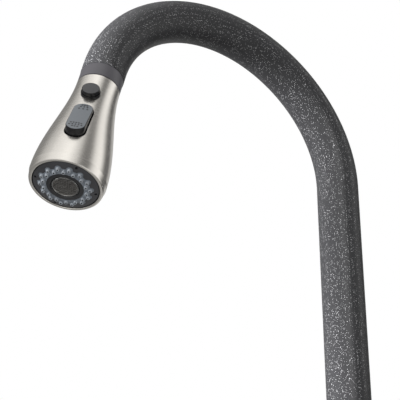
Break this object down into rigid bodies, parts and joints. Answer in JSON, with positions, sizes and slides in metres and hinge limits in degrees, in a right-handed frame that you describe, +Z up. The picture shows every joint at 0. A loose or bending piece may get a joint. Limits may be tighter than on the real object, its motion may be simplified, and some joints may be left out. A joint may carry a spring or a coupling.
{
  "type": "pull down kitchen faucet",
  "caption": "Deck-mounted kitchen faucet: swivelling gooseneck, magnetic-docked pull-down spray head with pause button and spray rocker, and a side mixing lever.",
  "frame": {"origin": "centre of the shank in the plane of the deck's top face", "axes": "+Z up out of the deck along the body; +Y towards the wall; the user stands at -Y and the spout reaches to -Y; the lever is on +X"},
  "size_m": [0.088, 0.2731, 0.538],
  "materials": {
    "coated_metal": "textured anthracite coat with fine light flecks",
    "dock_plastic": "smooth anthracite, satin",
    "brushed_steel": "brushed, satin",
    "plain_steel": "turned or pressed, plain",
    "brass": "machined",
    "copper_tails": "drawn copper",
    "disc_ceramic": "lapped white",
    "magnet": "sintered, dark",
    "black_rubber": "matt",
    "grey_silicone": "translucent blue-grey, soft sheen",
    "black_plastic": "fine grain",
    "pale_plastic": "plain moulding",
    "blue_plastic": "plain moulding",
    "button_dark": "satin top, glossy sides",
    "button_grey": "satin blue-grey top, glossy black sides",
    "plug_grey": "plain",
    "hose_nylon": "tight nylon braid"
  },
  "bodies": {
    "mount": {"base_gasket": "black_rubber", "base_flange": "coated_metal", "shank": "brass", "body_shell": "coated_metal", "upper_bush": "pale_plastic", "lower_bush": "pale_plastic", "friction_ring": "black_rubber", "valve_body": "brass", "cartridge_seal": "black_rubber", "fixed_disc": "disc_ceramic", "cartridge_housing": "pale_plastic", "cartridge_nut": "brass", "bonnet_dome": "coated_metal", "hot_tail": "copper_tails", "cold_tail": "copper_tails", "outlet_tail": "copper_tails", "spray_hose_lower": "hose_nylon", "hose_plug": "brass"},
    "clamp": {"rubber_washer": "black_rubber", "steel_washer": "plain_steel", "mounting_nut": "brass", "clamp_screws": "plain_steel"},
    "mixer": {"cartridge_turret": "pale_plastic", "tilt_pin": "plain_steel"},
    "disc": {"moving_disc": "disc_ceramic", "disc_slider": "pale_plastic"},
    "lever": {"cartridge_stem": "brass", "handle_hub": "coated_metal", "lever_rod": "brushed_steel", "handle_set_screw": "plain_steel", "handle_plug": "plug_grey"},
    "spout": {"spout_tube": "coated_metal", "spout_foot_ring": "coated_metal", "retaining_clip": "plain_steel", "dock_sleeve": "dock_plastic", "dock_magnet": "magnet", "spray_hose_upper": "hose_nylon"},
    "hose_end": {"hose_ferrule": "plain_steel"},
    "spray_head": {"neck_sleeve": "black_plastic", "strike_ring": "plain_steel", "socket_nut": "brass", "check_valve": "blue_plastic", "spray_shell": "brushed_steel", "waterway_core": "black_plastic", "stem_seal": "black_rubber", "pause_bezel": "black_plastic", "pause_spring": "plain_steel", "rocker_cradle": "black_plastic", "rocker_pin": "plain_steel", "face_seal": "black_rubber", "face_plate": "black_plastic", "nozzle_ring": "grey_silicone", "hub_ring": "black_plastic", "aerator_housing": "plain_steel", "aerator_mesh": "plain_steel"},
    "pause": {"pause_button": "button_dark", "pause_stem": "pale_plastic"},
    "rocker": {"rocker_button": "button_grey"},
    "spool": {"diverter_spool": "pale_plastic", "spool_seals": "black_rubber"}
  },
  "joints": [
    {"name": "clamp_travel", "type": "slide", "parent": "mount", "child": "clamp", "axis": [0, 0, -1], "range_m": [0, 0.2]},
    {"name": "lever_turn", "type": "hinge", "parent": "mount", "child": "mixer", "pos_m": [0.036, 0, 0.062], "axis": [-1, 0, 0], "range_deg": [0, 90]},
    {"name": "lever_lift", "type": "hinge", "parent": "mixer", "child": "lever", "pos_m": [0.036, 0, 0.062], "axis": [0, 0, 1], "range_deg": [0, 20]},
    {"name": "disc_slide", "type": "slide", "parent": "mixer", "child": "disc", "axis": [0, -1, 0], "range_m": [0, 0.00412]},
    {"name": "spout_swivel", "type": "hinge", "parent": "mount", "child": "spout", "pos_m": [0, 0, 0.1], "axis": [0, 0, 1], "continuous": true},
    {"name": "spray_pull", "type": "slide", "parent": "spout", "child": "hose_end", "axis": [0, -0.23, -0.9732], "range_m": [0, 0.45], "stiffness_N_per_m": 8, "springref_m": -0.8},
    {"name": "head_swivel", "type": "hinge", "parent": "hose_end", "child": "spray_head", "pos_m": [0, -0.20302, 0.30387], "axis": [0, -0.23, -0.9732], "continuous": true},
    {"name": "pause_press", "type": "slide", "parent": "spray_head", "child": "pause", "axis": [-0.8389, 0.4765, -0.2631], "range_m": [0, 0.002], "stiffness_N_per_m": 800, "springref_m": -0.002},
    {"name": "rocker_tilt", "type": "hinge", "parent": "spray_head", "child": "rocker", "pos_m": [0.01486, -0.22233, 0.26256], "axis": [0.5299, 0.8253, -0.1951], "range_deg": [0, 13.4]},
    {"name": "spool_shift", "type": "slide", "parent": "spray_head", "child": "spool", "axis": [0, 0.23, 0.9732], "range_m": [0, 0.00215]}
  ],
  "couplings": [
    {"joint": "disc_slide", "follows": "lever_lift", "m_per_rad": 0.011758},
    {"joint": "spool_shift", "follows": "rocker_tilt", "m_per_rad": 0.0091031}
  ]
}
